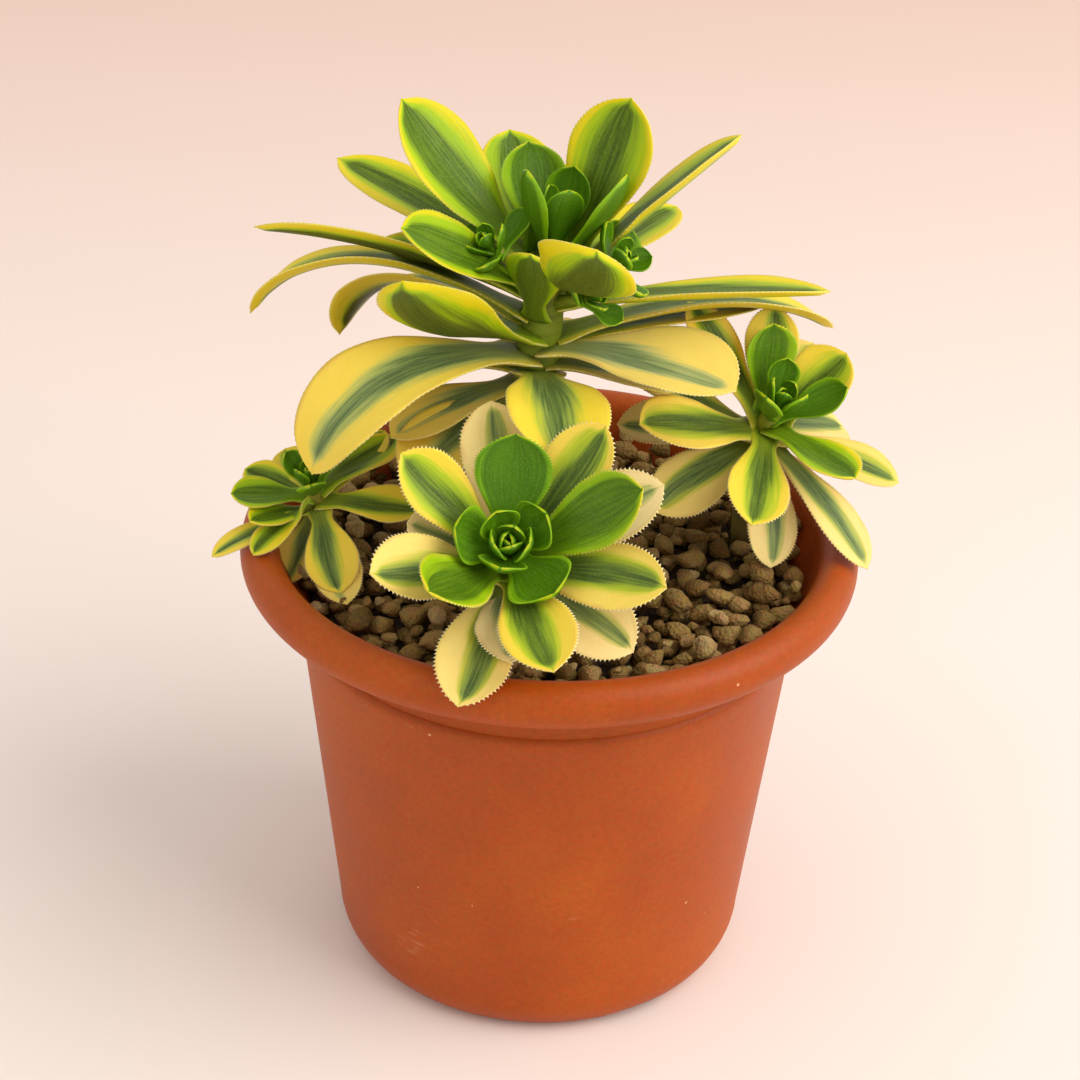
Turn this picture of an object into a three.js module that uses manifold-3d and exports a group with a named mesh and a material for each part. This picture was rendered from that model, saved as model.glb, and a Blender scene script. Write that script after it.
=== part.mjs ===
// A potted succulent: a variegated tree houseleek in a rolled-rim plastic pot.
// Four shoots stand in a bed of coarse clay grit: a tall crown behind, and three low rosettes
// at the front, the right and the left. Every large leaf is a solid of its own, as it would be
// if it were picked off its stem. Millimetres, +Z up, z = 0 under the foot of the pot.
import * as THREE from "three";
import { mergeVertices } from "three/addons/utils/BufferGeometryUtils.js";
import Module from "manifold-3d";

const wasm = await Module();
wasm.setup();

// ---- Driving dimensions ------------------------------------------------------------------

const GAP = 0.3; // clearance between pieces that touch

const POT_HEIGHT = 102.4;
const RIM_RADIUS = 65; // outside of the rolled rim
const RIM_HALF_WIDE = 4.2; // the roll's section is an ellipse
const RIM_HALF_HIGH = 4.8;
const LIP_ANGLE = -75; // where the roll ends, in degrees below its middle
const WALL = 2.2;
const BODY_TOP_RADIUS = 52.9;
const BODY_TOP_Z = 82.4; // the body ends in a small ledge, below the neck
const LEDGE = 0.9;
const NECK_TOP_Z = 89; // above it the wall flares into the roll
const BODY_FOOT_RADIUS = 45.1;
const FOOT_ROUND = 9.3; // rounding between the wall and the foot
const FOOT_RADIUS = 38;
const FOOT_WIDE = 5;
const BASE_Z = 4; // the floor of the pot stands off the table
const POT_SEGMENTS = 48;
const ARCH_WIDE = 17; // three arches in the foot let water out from under the pot
const ARCH_HIGH = 3.2;
const ARCH_TURNS = [-60, 60, 180];
const DRAIN_HOLE_RADIUS = 4;
const DRAIN_HOLE_CIRCLE = 22;
const DRAIN_HOLE_COUNT = 4;

const GRIT_Z = 95; // level of the bed
const GRIT_BUMP = 1.3;
const GRIT_SEGMENTS = 36;
const GRIT_RINGS = 6;

const AROUND = 8; // corners round each leaf, stem and bud
const LEAF_STATIONS = [0, 0.2, 0.42, 0.6, 0.76, 0.89, 0.97];
const WIDEST = 0.66; // where a leaf is widest, as a share of its length
const THICK = 0.7; // half of a leaf's thickness at its foot: this, and a share of its width
const THICK_SHARE = 0.055;
const TROUGH = 0.22; // how deep the blade is hollowed, as a share of its half width

// ---- Lofting -----------------------------------------------------------------------------

const rad = THREE.MathUtils.degToRad;

// A closed skin over a row of sections. The poles of the sphere become its two end points, and
// place(section, angle) gives the point of a section at that angle.
function loft(first, last, sections, place) {
  const skin = new THREE.SphereGeometry(1, AROUND, sections.length + 1);
  const position = skin.getAttribute("position");
  for (let i = 0; i < position.count; i++) {
    const row = Math.floor(i / (AROUND + 1));
    const angle = (2 * Math.PI * (i % (AROUND + 1))) / AROUND;
    const point =
      row === 0
        ? first
        : row > sections.length
          ? last
          : place(sections[row - 1], angle);
    position.setXYZ(i, point.x, point.y, point.z);
  }
  return skin;
}

// A round, tapering rod along a curve through points, with a radius for each section.
function rod(points, radii, grow = 0) {
  const curve = new THREE.CatmullRomCurve3(points);
  const sections = radii.map((radius, i) => {
    const t = i / (radii.length - 1);
    const tangent = curve.getTangentAt(t);
    const normal = new THREE.Vector3(0, 1, 0).cross(tangent).normalize();
    return {
      centre: curve.getPointAt(t),
      radius: radius + grow,
      normal,
      side: tangent.clone().cross(normal),
      tangent,
    };
  });
  const cap = (section, way) =>
    section.centre
      .clone()
      .addScaledVector(section.tangent, (way * section.radius) / 2);
  return loft(
    cap(sections[0], -1),
    cap(sections.at(-1), 1),
    sections,
    (section, angle) =>
      section.centre
        .clone()
        .addScaledVector(section.side, section.radius * Math.cos(angle))
        .addScaledVector(section.normal, section.radius * Math.sin(angle)),
  );
}

// ---- Solids ------------------------------------------------------------------------------

function toSolid(geometry) {
  const bare = geometry.clone();
  bare.deleteAttribute("normal");
  bare.deleteAttribute("uv");
  const merged = mergeVertices(bare, 1e-4);
  return new wasm.Manifold(
    new wasm.Mesh({
      numProp: 3,
      vertProperties: merged.getAttribute("position").array,
      triVerts: new Uint32Array(merged.index.array),
    }),
  );
}

function toGeometry(solid) {
  const mesh = solid.getMesh();
  const geometry = new THREE.BufferGeometry();
  geometry.setAttribute(
    "position",
    new THREE.BufferAttribute(mesh.vertProperties, 3),
  );
  geometry.setIndex(new THREE.BufferAttribute(mesh.triVerts, 1));
  geometry.computeVertexNormals();
  return geometry;
}

function cut(geometry, cutters) {
  return toGeometry(
    cutters.reduce(
      (solid, cutter) => solid.subtract(toSolid(cutter)),
      toSolid(geometry),
    ),
  );
}

// ---- Materials ---------------------------------------------------------------------------

const MATERIALS = {
  pot: new THREE.MeshStandardMaterial({ color: "#b5562b", roughness: 0.55 }),
  grit: new THREE.MeshStandardMaterial({ color: "#77604a", roughness: 0.95 }),
  stem: new THREE.MeshStandardMaterial({ color: "#8e9a3c", roughness: 0.5 }),
  leaf: new THREE.MeshStandardMaterial({ color: "#9fb53a", roughness: 0.4 }),
  bud: new THREE.MeshStandardMaterial({ color: "#4f8f1f", roughness: 0.4 }),
};

const plant = new THREE.Group();

function add(name, geometry, material) {
  const mesh = new THREE.Mesh(geometry, material);
  mesh.name = name;
  plant.add(mesh);
}

// ---- Pot ---------------------------------------------------------------------------------

// The wall's inside radius at a height, below the flare of the rim.
function insideRadius(z) {
  const climb = (z - FOOT_ROUND) / (BODY_TOP_Z - FOOT_ROUND);
  const outside = THREE.MathUtils.lerp(
    BODY_FOOT_RADIUS,
    BODY_TOP_RADIUS,
    climb,
  );
  return outside - WALL - LEDGE;
}

function arc(centre, halfWide, halfHigh, from, to, steps) {
  return Array.from({ length: steps + 1 }, (_, i) => {
    const angle = rad(from + ((to - from) * i) / steps);
    return new THREE.Vector2(
      centre.x + halfWide * Math.cos(angle),
      centre.y + halfHigh * Math.sin(angle),
    );
  });
}

function potGeometry() {
  const v = (r, z) => new THREE.Vector2(r, z);
  const roll = v(RIM_RADIUS - RIM_HALF_WIDE, POT_HEIGHT - RIM_HALF_HIGH);
  const footArc = v(FOOT_RADIUS, FOOT_ROUND);
  const profile = [
    v(0, BASE_Z),
    v(FOOT_RADIUS - FOOT_WIDE, BASE_Z),
    v(FOOT_RADIUS - FOOT_WIDE + 1, 0),
    ...arc(footArc, BODY_FOOT_RADIUS - FOOT_RADIUS, FOOT_ROUND, -90, 0, 4),
    v(BODY_TOP_RADIUS, BODY_TOP_Z),
    v(BODY_TOP_RADIUS - LEDGE, BODY_TOP_Z + LEDGE),
    v(BODY_TOP_RADIUS - LEDGE, NECK_TOP_Z),
    ...arc(
      roll,
      RIM_HALF_WIDE - WALL,
      RIM_HALF_HIGH - WALL,
      180,
      LIP_ANGLE,
      5,
    ),
    ...arc(roll, RIM_HALF_WIDE, RIM_HALF_HIGH, LIP_ANGLE, 180, 9),
    v(insideRadius(NECK_TOP_Z), NECK_TOP_Z),
    v(insideRadius(FOOT_ROUND), FOOT_ROUND),
    v(FOOT_RADIUS, BASE_Z + WALL),
    v(0, BASE_Z + WALL),
  ];
  const shell = new THREE.LatheGeometry(profile, POT_SEGMENTS).rotateX(
    Math.PI / 2,
  );
  const arches = ARCH_TURNS.map((turn) =>
    new THREE.CylinderGeometry(1, 1, 4 * FOOT_WIDE, 12)
      .rotateZ(Math.PI / 2)
      .scale(1, ARCH_WIDE / 2, ARCH_HIGH)
      .translate(FOOT_RADIUS, 0, 0)
      .rotateZ(rad(turn)),
  );
  const holes = Array.from({ length: DRAIN_HOLE_COUNT }, (_, i) =>
    new THREE.CylinderGeometry(
      DRAIN_HOLE_RADIUS,
      DRAIN_HOLE_RADIUS,
      4 * WALL,
      12,
    )
      .rotateX(Math.PI / 2)
      .translate(DRAIN_HOLE_CIRCLE, 0, BASE_Z + WALL / 2)
      .rotateZ((2 * Math.PI * i) / DRAIN_HOLE_COUNT),
  );
  return cut(shell, [...arches, ...holes]);
}

add("pot", potGeometry(), MATERIALS.pot);

// ---- Shoots ------------------------------------------------------------------------------

// Each shoot's stem climbs from its foot in the grit to its hub, where it leans by lean degrees
// towards turn, and goes on for tip. Leaf heights are measured along the lean from the hub. A
// leaf row is turn, rise, length, width, droop, roll and height: turn is its heading round the
// stem, rise its slope where it leaves, droop how far it has bent down by its point, and roll
// how far the blade turns about its own length. Rows run from the oldest leaf to the youngest.
const SHOOTS = [
  {
    name: "crown",
    foot: [-4, 12, 62],
    hub: [-4, 8, 135],
    turn: 0,
    lean: 6,
    tip: 26,
    reach: 10,
    radii: [2, 5.6, 5.2, 4.8, 4.6, 4.5, 4.3, 3.2],
    bud: [2.6, 8],
    leaves: [
      [226, -12, 31, 19, 45, 0, -5],
      [279, 18, 34, 21, 66, 0, 1],
      [100, -5, 40, 17, 45, 0, -1],
      [213, 8, 56.5, 22, 100, -8, 4],
      [330, 17, 40, 22, 30, 12, 6.5],
      [181, -1, 44.5, 15, 60, 0, 0],
      [17, 18, 62, 16, 55, -12, 8],
      [215, 12, 35, 23, -50, 38, 9],
      [145, 3, 57, 13, 92, 15, 9.5],
      [178, 21, 62, 14, 96, 15, 12.5],
      [75, 5, 42, 15, 40, 0, 13],
      [356, 16, 52, 15, 12, -12, 16],
      [182, 16, 55, 13, 25, 28, 17],
      [287, 26, 26, 21, -45, -30, 22],
      [50, 16, 36, 14, 14, 0, 18.5],
      [209, 31, 33, 14, 10, -30, 19.5],
      [150, 12, 48, 15, 8, -10, 21],
      [10, 52, 43, 15, 14, -15, 22],
      [110, 31, 31, 17, 0, 0, 22.5],
      [170, 42, 40, 18, -8, -26, 24],
      [38, 73, 33, 18, -4, 25, 25.5],
      [120, 60, 19, 15, -4, 0, 27],
    ],
  },
  {
    name: "front",
    foot: [-6, -24, 68],
    hub: [-8, -40, 118],
    turn: -90,
    lean: 38,
    tip: 3,
    reach: 9,
    radii: [1.5, 3.2, 3, 2.9, 2.8, 2.6, 2],
    bud: [2.2, 6],
    leaves: [
      [255, 28, 31, 14.5, 30, 0, -6],
      [98, 16, 30, 14, 20, 0, -5.5],
      [24, 30, 31, 14, 25, 0, -4.8],
      [322, 21, 28, 14.5, 25, 0, -5.4],
      [200, 43, 29, 14, 24, 0, -3],
      [341, 34, 32, 14, 14, 0, -2.5],
      [288, 40, 32, 14.5, 15, 0, -2],
      [52, 31, 29, 13.5, 8, 0, -2],
      [145, 39, 27, 12.5, 8, 0, -1],
      [16, 40, 29, 14.5, 0, 0, 0.2],
      [226, 49, 25.5, 14, 0, 0, 0.5],
      [88, 34, 20, 15, -5, 0, 1.5],
    ],
  },
  {
    name: "right",
    foot: [42, 9, 66],
    hub: [45, 6, 125],
    turn: -50,
    lean: 22,
    tip: 3,
    reach: 12,
    radii: [1.5, 3.2, 3, 2.9, 2.8, 2.6, 2],
    bud: [1.8, 5],
    leaves: [
      [225, -9, 26, 14, 25, 0, -6],
      [285, -22, 24, 11, 25, 0, -6.5],
      [315, -5, 32, 10.5, 20, 0, -4.8],
      [347, 7, 26, 11, 18, 0, -3.2],
      [169, 12, 31, 11, 12, 0, -4.4],
      [206, 16, 29, 15, 10, 0, -2.5],
      [263, 7, 27, 13, 10, 0, -2],
      [45, 46, 19, 13.5, 15, 0, -1],
      [312, 20, 21, 12, 5, 0, 0],
      [110, 57, 17, 11.5, -5, 0, 1],
    ],
  },
  {
    name: "left",
    foot: [-42, 2, 68],
    hub: [-49, -4, 110],
    turn: -120,
    lean: 20,
    tip: 2.5,
    reach: 8,
    radii: [1.2, 2.6, 2.4, 2.2, 2.1, 2, 1.5],
    bud: [1.5, 4.5],
    leaves: [
      [209, 19, 22, 6, 38, 0, -5.5],
      [283, -3, 20, 11, 25, 0, -3],
      [348, -1, 19, 10, 15, 0, -2],
      [231, 6, 16, 7, 14, 0, -1],
      [44, -6, 20, 10, 5, 0, 0],
      [188, 20, 14, 9, 5, 0, 0.5],
    ],
  },
];

// The frame of a shoot at its hub, with +Z along the lean.
function shootFrame({ hub, turn, lean }) {
  return new THREE.Matrix4()
    .makeRotationZ(rad(turn))
    .multiply(new THREE.Matrix4().makeRotationY(rad(lean)))
    .multiply(new THREE.Matrix4().makeRotationZ(rad(-turn)))
    .setPosition(...hub);
}

function stemGeometry(shoot, grow = 0) {
  const frame = shootFrame(shoot);
  const foot = new THREE.Vector3(...shoot.foot);
  const hip = foot.clone().setZ(GRIT_Z - 6);
  const onAxis = (z) => new THREE.Vector3(0, 0, z).applyMatrix4(frame);
  const points = [foot, hip, onAxis(-shoot.reach), onAxis(0), onAxis(shoot.tip)];
  return rod(points, shoot.radii, grow);
}

// The tight heart of unopened leaves: a pointed egg standing on the tip of the stem.
function budGeometry(shoot) {
  const [radius, height] = shoot.bud;
  const foot = shoot.tip + shoot.radii.at(-1) / 2 + GAP;
  const shares = [0.08, 0.35, 0.65, 0.9];
  const rings = shares.map((t) => ({
    z: foot + height * t,
    radius: radius * Math.sin(Math.PI * t ** 0.8) ** 0.7,
  }));
  return loft(
    new THREE.Vector3(0, 0, foot + height),
    new THREE.Vector3(0, 0, foot),
    rings.reverse(),
    (ring, angle) =>
      new THREE.Vector3(
        ring.radius * Math.cos(angle),
        ring.radius * Math.sin(angle),
        ring.z,
      ),
  ).applyMatrix4(shootFrame(shoot));
}

// Half the width of a leaf at a share of its length: a narrow foot, a broad blade, a point.
function halfWidth(t, width) {
  const foot = 0.3;
  if (t < WIDEST) {
    const climb = t / WIDEST;
    return (width / 2) * (foot + (1 - foot) * climb * climb * (3 - 2 * climb));
  }
  const fall = (t - WIDEST) / (1 - WIDEST);
  return (width / 2) * (1 - fall * fall) ** 0.85;
}

// A blade bent along its own middle line, a shallow trough on top, keeled below.
function leafGeometry(shoot, [turn, rise, length, width, droop, roll, height]) {
  const steps = 60;
  const up = new THREE.Vector3(0, 0, 1);
  const out = new THREE.Vector3(Math.cos(rad(turn)), Math.sin(rad(turn)), 0);
  const slope = (t) => rad(rise - droop * t * t);
  const heading = (t) =>
    out
      .clone()
      .multiplyScalar(Math.cos(slope(t)))
      .addScaledVector(up, Math.sin(slope(t)));
  const socket = Math.max(...shoot.radii.slice(-3)) + GAP;
  const line = [out.clone().multiplyScalar(socket + 1).setZ(height)];
  for (let i = 0; i < steps; i++)
    line.push(
      line[i]
        .clone()
        .addScaledVector(heading((i + 0.5) / steps), length / steps),
    );
  const section = (t) => {
    const tangent = heading(t);
    const normal = up
      .clone()
      .multiplyScalar(Math.cos(slope(t)))
      .addScaledVector(out, -Math.sin(slope(t)))
      .applyAxisAngle(tangent, rad(roll * Math.min(1, 3 * t)));
    const half = halfWidth(t, width);
    return {
      centre: line[Math.round(t * steps)],
      side: tangent.clone().cross(normal),
      normal,
      half,
      deep: (THICK + THICK_SHARE * width) * (1 - 0.55 * t),
      trough: TROUGH * half * Math.min(1, 2 * t),
    };
  };
  const place = ({ centre, side, normal, half, deep, trough }, angle) => {
    const across = Math.cos(angle);
    const lift = trough * (across ** 2 - 0.5) + deep * Math.sin(angle);
    return centre
      .clone()
      .addScaledVector(side, half * across)
      .addScaledVector(normal, lift);
  };
  const base = line[0].clone().addScaledVector(heading(0), -0.6);
  return loft(
    base,
    line[steps],
    LEAF_STATIONS.map(section),
    place,
  ).applyMatrix4(shootFrame(shoot));
}

// ---- Grit --------------------------------------------------------------------------------

// How far the bed stands above its level: a few crossing waves, which die out at the wall.
function bump(x, y, reach) {
  const waves = Math.sin(0.31 * x + 1) * Math.cos(0.27 * y);
  const ripple = 0.5 * Math.sin(0.53 * (x - y));
  return GRIT_BUMP * (waves + ripple) * (1 - (Math.hypot(x, y) / reach) ** 4);
}

// The filling fits the inside of the pot, and its top is a fan of rings that follow the bumps.
function gritGeometry() {
  const v = (r, z) => new THREE.Vector2(r, z);
  const neck = insideRadius(NECK_TOP_Z);
  const flare = RIM_RADIUS - 2 * RIM_HALF_WIDE - neck;
  const climb = POT_HEIGHT - RIM_HALF_HIGH - NECK_TOP_Z;
  const reach = neck + (flare * (GRIT_Z - NECK_TOP_Z)) / climb - 2 * GAP;
  const floor = BASE_Z + WALL + GAP;
  const filling = new THREE.LatheGeometry(
    [
      v(0, floor),
      v(FOOT_RADIUS - 2 * GAP, floor),
      v(insideRadius(FOOT_ROUND) - GAP, FOOT_ROUND + GAP),
      v(neck - GAP, NECK_TOP_Z),
      ...Array.from({ length: GRIT_RINGS }, (_, i) =>
        v((reach * (GRIT_RINGS - i)) / GRIT_RINGS, GRIT_Z),
      ),
      v(0, GRIT_Z),
    ],
    GRIT_SEGMENTS,
  ).rotateX(Math.PI / 2);
  const position = filling.getAttribute("position");
  for (let i = 0; i < position.count; i++) {
    const [x, y, z] = [position.getX(i), position.getY(i), position.getZ(i)];
    if (z > GRIT_Z - 1) position.setZ(i, z + bump(x, y, reach));
  }
  const stems = SHOOTS.map((shoot) => stemGeometry(shoot, GAP));
  return cut(filling, stems);
}

add("grit", gritGeometry(), MATERIALS.grit);

// ---- The whole plant ---------------------------------------------------------------------

for (const shoot of SHOOTS) {
  add(`${shoot.name}_stem`, stemGeometry(shoot), MATERIALS.stem);
  add(`${shoot.name}_heart`, budGeometry(shoot), MATERIALS.bud);
  shoot.leaves.forEach((row, i) => {
    const number = String(i + 1).padStart(2, "0");
    add(`${shoot.name}_leaf_${number}`, leafGeometry(shoot, row), MATERIALS.leaf);
  });
}

// The middle of the whole plant's footprint goes to x = y = 0.
const middle = new THREE.Box3()
  .setFromObject(plant)
  .getCenter(new THREE.Vector3());
plant.position.set(-middle.x, -middle.y, 0);

export default plant;
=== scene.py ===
import math
import random

import bmesh
import bpy
from mathutils import Matrix, Quaternion, Vector, noise


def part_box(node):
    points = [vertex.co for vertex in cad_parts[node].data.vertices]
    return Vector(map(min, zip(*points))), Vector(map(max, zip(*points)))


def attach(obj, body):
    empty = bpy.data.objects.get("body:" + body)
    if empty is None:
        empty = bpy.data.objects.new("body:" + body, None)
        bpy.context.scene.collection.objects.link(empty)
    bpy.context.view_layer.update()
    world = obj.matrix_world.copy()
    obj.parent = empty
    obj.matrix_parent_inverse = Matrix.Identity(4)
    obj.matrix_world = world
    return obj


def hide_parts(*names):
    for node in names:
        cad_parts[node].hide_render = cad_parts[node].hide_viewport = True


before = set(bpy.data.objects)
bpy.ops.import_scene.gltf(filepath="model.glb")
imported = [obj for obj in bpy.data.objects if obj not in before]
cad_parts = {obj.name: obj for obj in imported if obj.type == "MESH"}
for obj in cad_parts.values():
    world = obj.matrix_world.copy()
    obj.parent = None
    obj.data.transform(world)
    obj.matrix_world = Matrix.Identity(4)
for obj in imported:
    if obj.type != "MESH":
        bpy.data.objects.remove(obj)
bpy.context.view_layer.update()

MM = 0.001

# ---- Viewpoint -------------------------------------------------------------------------
# A standing view from the front, looking down on the rim of the pot.
CAMERA_AT = Vector((-2, -484, 388.4)) * MM  # from the foot of the pot's axis
CAMERA_AIM = Vector((-2, 0, 97.9)) * MM
CAMERA_TILT = math.radians(1.72)
LENS = 89.2

pot_low, pot_high = (Vector(corner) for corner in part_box("pot"))
pot_axis = Vector(((pot_low.x + pot_high.x) / 2, (pot_low.y + pot_high.y) / 2, 0))
bpy.ops.object.select_all(action="DESELECT")
bpy.ops.object.camera_add(location=pot_axis + CAMERA_AT)
camera = bpy.context.object
camera.name = "camera"
camera.data.lens = LENS
camera.data.clip_start = 0.01
toward = (CAMERA_AIM - CAMERA_AT).to_track_quat("-Z", "Y")
camera.rotation_euler = (toward @ Quaternion((0, 0, 1), CAMERA_TILT)).to_euler()
bpy.context.scene.camera = camera
bpy.context.scene.view_settings.view_transform = "Standard"

# ---- Floor and light -------------------------------------------------------------------
# A wide sheet of pale peach paper, rolled out flat, darkened to a dusty pink further back by
# painted shade, under a large soft lamp to the front right and a pale room all round.
FLOOR_SIZE = 6.0
PAPER_NEAR = "#f3e8e0"
PAPER_MIDDLE = "#f5e8df"
PAPER_FAR_SHADED = "#ecc9b9"
SHADE_WASH_FROM, SHADE_WASH_TO = -0.15, 0.75
PAPER_FIBRE = 1.2 * MM
LAMP_AT = Vector((1.0, -0.4, 1.0))
LAMP_SIZE = 1.3
LAMP_POWER = 17.0
LAMP_COLOUR = "#fffaf5"
FILL_AT = Vector((-1.2, -0.7, 0.9))
FILL_POWER = 2.0
ROOM_COLOUR = "#fffcf9"
ROOM_STRENGTH = 0.74


def linear(colour):
    """A colour written as sRGB hex, as the linear values that shaders take."""
    channels = [int(colour[i:i + 2], 16) / 255 for i in (1, 3, 5)]
    return tuple(
        c / 12.92 if c <= 0.04045 else ((c + 0.055) / 1.055) ** 2.4 for c in channels
    ) + (1.0,)


def feed(tree, node, inputs):
    """Sets a node's inputs, by name or number, to values or to what other nodes give."""
    for name, value in inputs.items():
        if isinstance(value, bpy.types.NodeSocket):
            tree.links.new(value, node.inputs[name])
        else:
            node.inputs[name].default_value = value


def add_node(tree, kind, inputs, **settings):
    """Adds a node with its settings and its inputs."""
    made = tree.nodes.new(kind)
    for name, value in settings.items():
        setattr(made, name, value)
    feed(tree, made, inputs)
    return made


def ramp(tree, value, stops):
    """A colour by value, from stops of a position and a hex colour or a grey."""
    made = add_node(tree, "ShaderNodeValToRGB", {"Fac": value})
    elements, stops = made.color_ramp.elements, list(stops)
    while len(elements) < len(stops):
        elements.new(0.5)
    for element, (position, shade) in zip(elements, stops):
        element.position = position
        element.color = linear(shade) if isinstance(shade, str) else (shade,) * 3 + (1,)
    return made.outputs["Color"]


def fitted(tree, value, start, stop, low=0.0, high=1.0, kind="LINEAR"):
    """A value moved from the span between start and stop to the one between low and high."""
    inputs = {"Value": value, "From Min": start, "From Max": stop, "To Min": low, "To Max": high}
    return add_node(tree, "ShaderNodeMapRange", inputs, interpolation_type=kind).outputs["Result"]


def calc(tree, operation, *values, clamp=False):
    """The outcome of an operation on two or three values."""
    made = add_node(
        tree, "ShaderNodeMath", dict(enumerate(values)), operation=operation, use_clamp=clamp
    )
    return made.outputs["Value"]


def mixed(tree, share, under, over, blend="MIX"):
    """One colour laid over another by a share."""
    inputs = {0: share, 6: under, 7: over}
    return add_node(tree, "ShaderNodeMix", inputs, data_type="RGBA", blend_type=blend).outputs[2]


def attribute(tree, name, output="Fac"):
    """What a piece's corners carry under that name."""
    return add_node(tree, "ShaderNodeAttribute", {}, attribute_name=name).outputs[output]


def stretched(tree, place, scale):
    """A place scaled along each axis."""
    return add_node(tree, "ShaderNodeMapping", {"Vector": place, "Scale": scale}).outputs["Vector"]


def clouded(tree, place, scale, detail):
    """The outputs of soft noise, a value and a colour."""
    inputs = {"Vector": place, "Scale": scale, "Detail": detail}
    return add_node(tree, "ShaderNodeTexNoise", inputs).outputs


def celled(tree, place, scale):
    """The outputs of a pattern of cells, a distance and a colour."""
    return add_node(tree, "ShaderNodeTexVoronoi", {"Vector": place, "Scale": scale}).outputs


def bumped(tree, height, strength, distance):
    """The slant of a skin that rises with the height."""
    inputs = {"Height": height, "Strength": strength, "Distance": distance}
    return add_node(tree, "ShaderNodeBump", inputs).outputs["Normal"]


def new_material(name):
    """A plain material of that name, its node tree and shader, and the place on the piece."""
    material = bpy.data.materials.new(name)
    material.use_nodes = True
    tree = material.node_tree
    place = add_node(tree, "ShaderNodeTexCoord", {}).outputs["Object"]
    return material, tree, tree.nodes["Principled BSDF"], place


bpy.ops.object.select_all(action="DESELECT")
bpy.ops.mesh.primitive_plane_add(size=FLOOR_SIZE)
floor = bpy.context.object
floor.name = "floor"

# Matte coated paper: no gloss, a faint tooth, and a wash of painted shade from near white
# to a darker dusty peach further back.
paper, tree, shader, place = new_material("matte_coated_paper")
depth = add_node(tree, "ShaderNodeSeparateXYZ", {"Vector": place}).outputs["Y"]
# Painted shade: the paper's colour darkens with distance behind the pot.
far_shade = fitted(tree, depth, SHADE_WASH_FROM, SHADE_WASH_TO)
tooth = clouded(tree, place, 1 / PAPER_FIBRE, 3.0)["Fac"]
feed(tree, shader, {
    "Base Color": ramp(tree, far_shade, [(0, PAPER_NEAR), (0.3, PAPER_MIDDLE), (1, PAPER_FAR_SHADED)]),
    "Normal": bumped(tree, tooth, 0.05, MM / 5),
    "Roughness": 0.9, "Specular IOR Level": 0.2,
})
floor.data.materials.append(paper)

for name, spot, size, power in (
    ("key_lamp", LAMP_AT, LAMP_SIZE, LAMP_POWER),
    ("fill_lamp", FILL_AT, LAMP_SIZE, FILL_POWER),
):
    bpy.ops.object.light_add(type="AREA", location=spot)
    lamp = bpy.context.object
    lamp.name = name
    lamp.data.size = size
    lamp.data.energy = power
    lamp.data.color = linear(LAMP_COLOUR)[:3]
    aim = Vector((0, 0, pot_high.z)) - spot
    lamp.rotation_euler = aim.to_track_quat("-Z", "Y").to_euler()

room = bpy.data.worlds.new("pale_room")
room.use_nodes = True
room.node_tree.nodes["Background"].inputs["Color"].default_value = linear(ROOM_COLOUR)
room.node_tree.nodes["Background"].inputs["Strength"].default_value = ROOM_STRENGTH
bpy.context.scene.world = room

# ---- Pot -------------------------------------------------------------------------------
# A nursery pot of terracotta-coloured polypropylene, injection-moulded in one shot, with a
# rolled rim over a short neck, three water arches in its foot and four drain holes.
POT_SIDES = 192
POT_WALL = 2.2 * MM
RIM_HALF_WIDE = 4.2 * MM
RIM_HALF_HIGH = 4.8 * MM
RIM_RADIUS = (pot_high.x - pot_low.x) / 2
RIM_MIDDLE = RIM_RADIUS - RIM_HALF_WIDE
RIM_Z = pot_high.z - RIM_HALF_HIGH
BODY_TOP_RADIUS = 52.9 * MM
BODY_TOP_Z = 82.4 * MM
LEDGE = 0.9 * MM
NECK_Z = 89 * MM
FOOT_ROUND = 9.3 * MM
BODY_FOOT_RADIUS = 45.1 * MM
FOOT_RADIUS = 38 * MM
FOOT_WIDE = 5 * MM
BASE_Z = 4 * MM
ARCH_WIDE = 17 * MM
ARCH_HIGH = 3.2 * MM
ARCH_TURNS = (-60, 60, 180)
HOLE_RADIUS = 4 * MM
HOLE_CIRCLE = 22 * MM
HOLE_COUNT = 4
POT_COLOUR = "#aa4904"
POT_DARK = "#a24303"
POT_LIGHT = "#b4530a"
SCUFF_COLOUR = "#e0a27c"
SCUFF_LONG = 4 * MM
SCUFF_HIGH = 1.2 * MM
SCUFFED_PATCH = 22 * MM
SPECK_COLOUR = "#d69a72"
SPECK_APART = 6 * MM
SKIN_GRAIN = 1.1 * MM
CLOUD_WIDE = 28 * MM


def open_piece(piece):
    """Opens a piece for shaping, with nothing in it selected."""
    bpy.ops.object.select_all(action="DESELECT")
    bpy.context.view_layer.objects.active = piece
    piece.select_set(True)
    bpy.ops.object.mode_set(mode="EDIT")
    bpy.ops.mesh.select_all(action="DESELECT")


def pick(piece, kind, chosen):
    """Selects the faces, edges or corners of the open piece that the test chooses."""
    bpy.ops.mesh.select_mode(type=kind)
    bpy.ops.mesh.select_all(action="DESELECT")
    shape = bmesh.from_edit_mesh(piece.data)
    for element in {"VERT": shape.verts, "EDGE": shape.edges, "FACE": shape.faces}[kind]:
        if chosen(element):
            element.select_set(True)
    bmesh.update_edit_mesh(piece.data)


def close_piece():
    """Closes the piece that is open for shaping."""
    bpy.ops.object.mode_set(mode="OBJECT")


def finish_piece(piece, material, slot, *nodes):
    """Gives a piece its material and its body, and hides the CAD nodes it stands for; the slot is
    not used.
    """
    piece.data.materials.clear()
    piece.data.materials.append(material)
    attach(piece, "root")
    if nodes:
        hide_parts(*nodes)


def ellipse(half_wide, half_high, start, stop, steps):
    """Points round the rim's roll, as radius and height."""
    turns = [math.radians(start + (stop - start) * i / steps) for i in range(steps + 1)]
    return [
        (RIM_MIDDLE + half_wide * math.cos(t), RIM_Z + half_high * math.sin(t)) for t in turns
    ]


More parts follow.
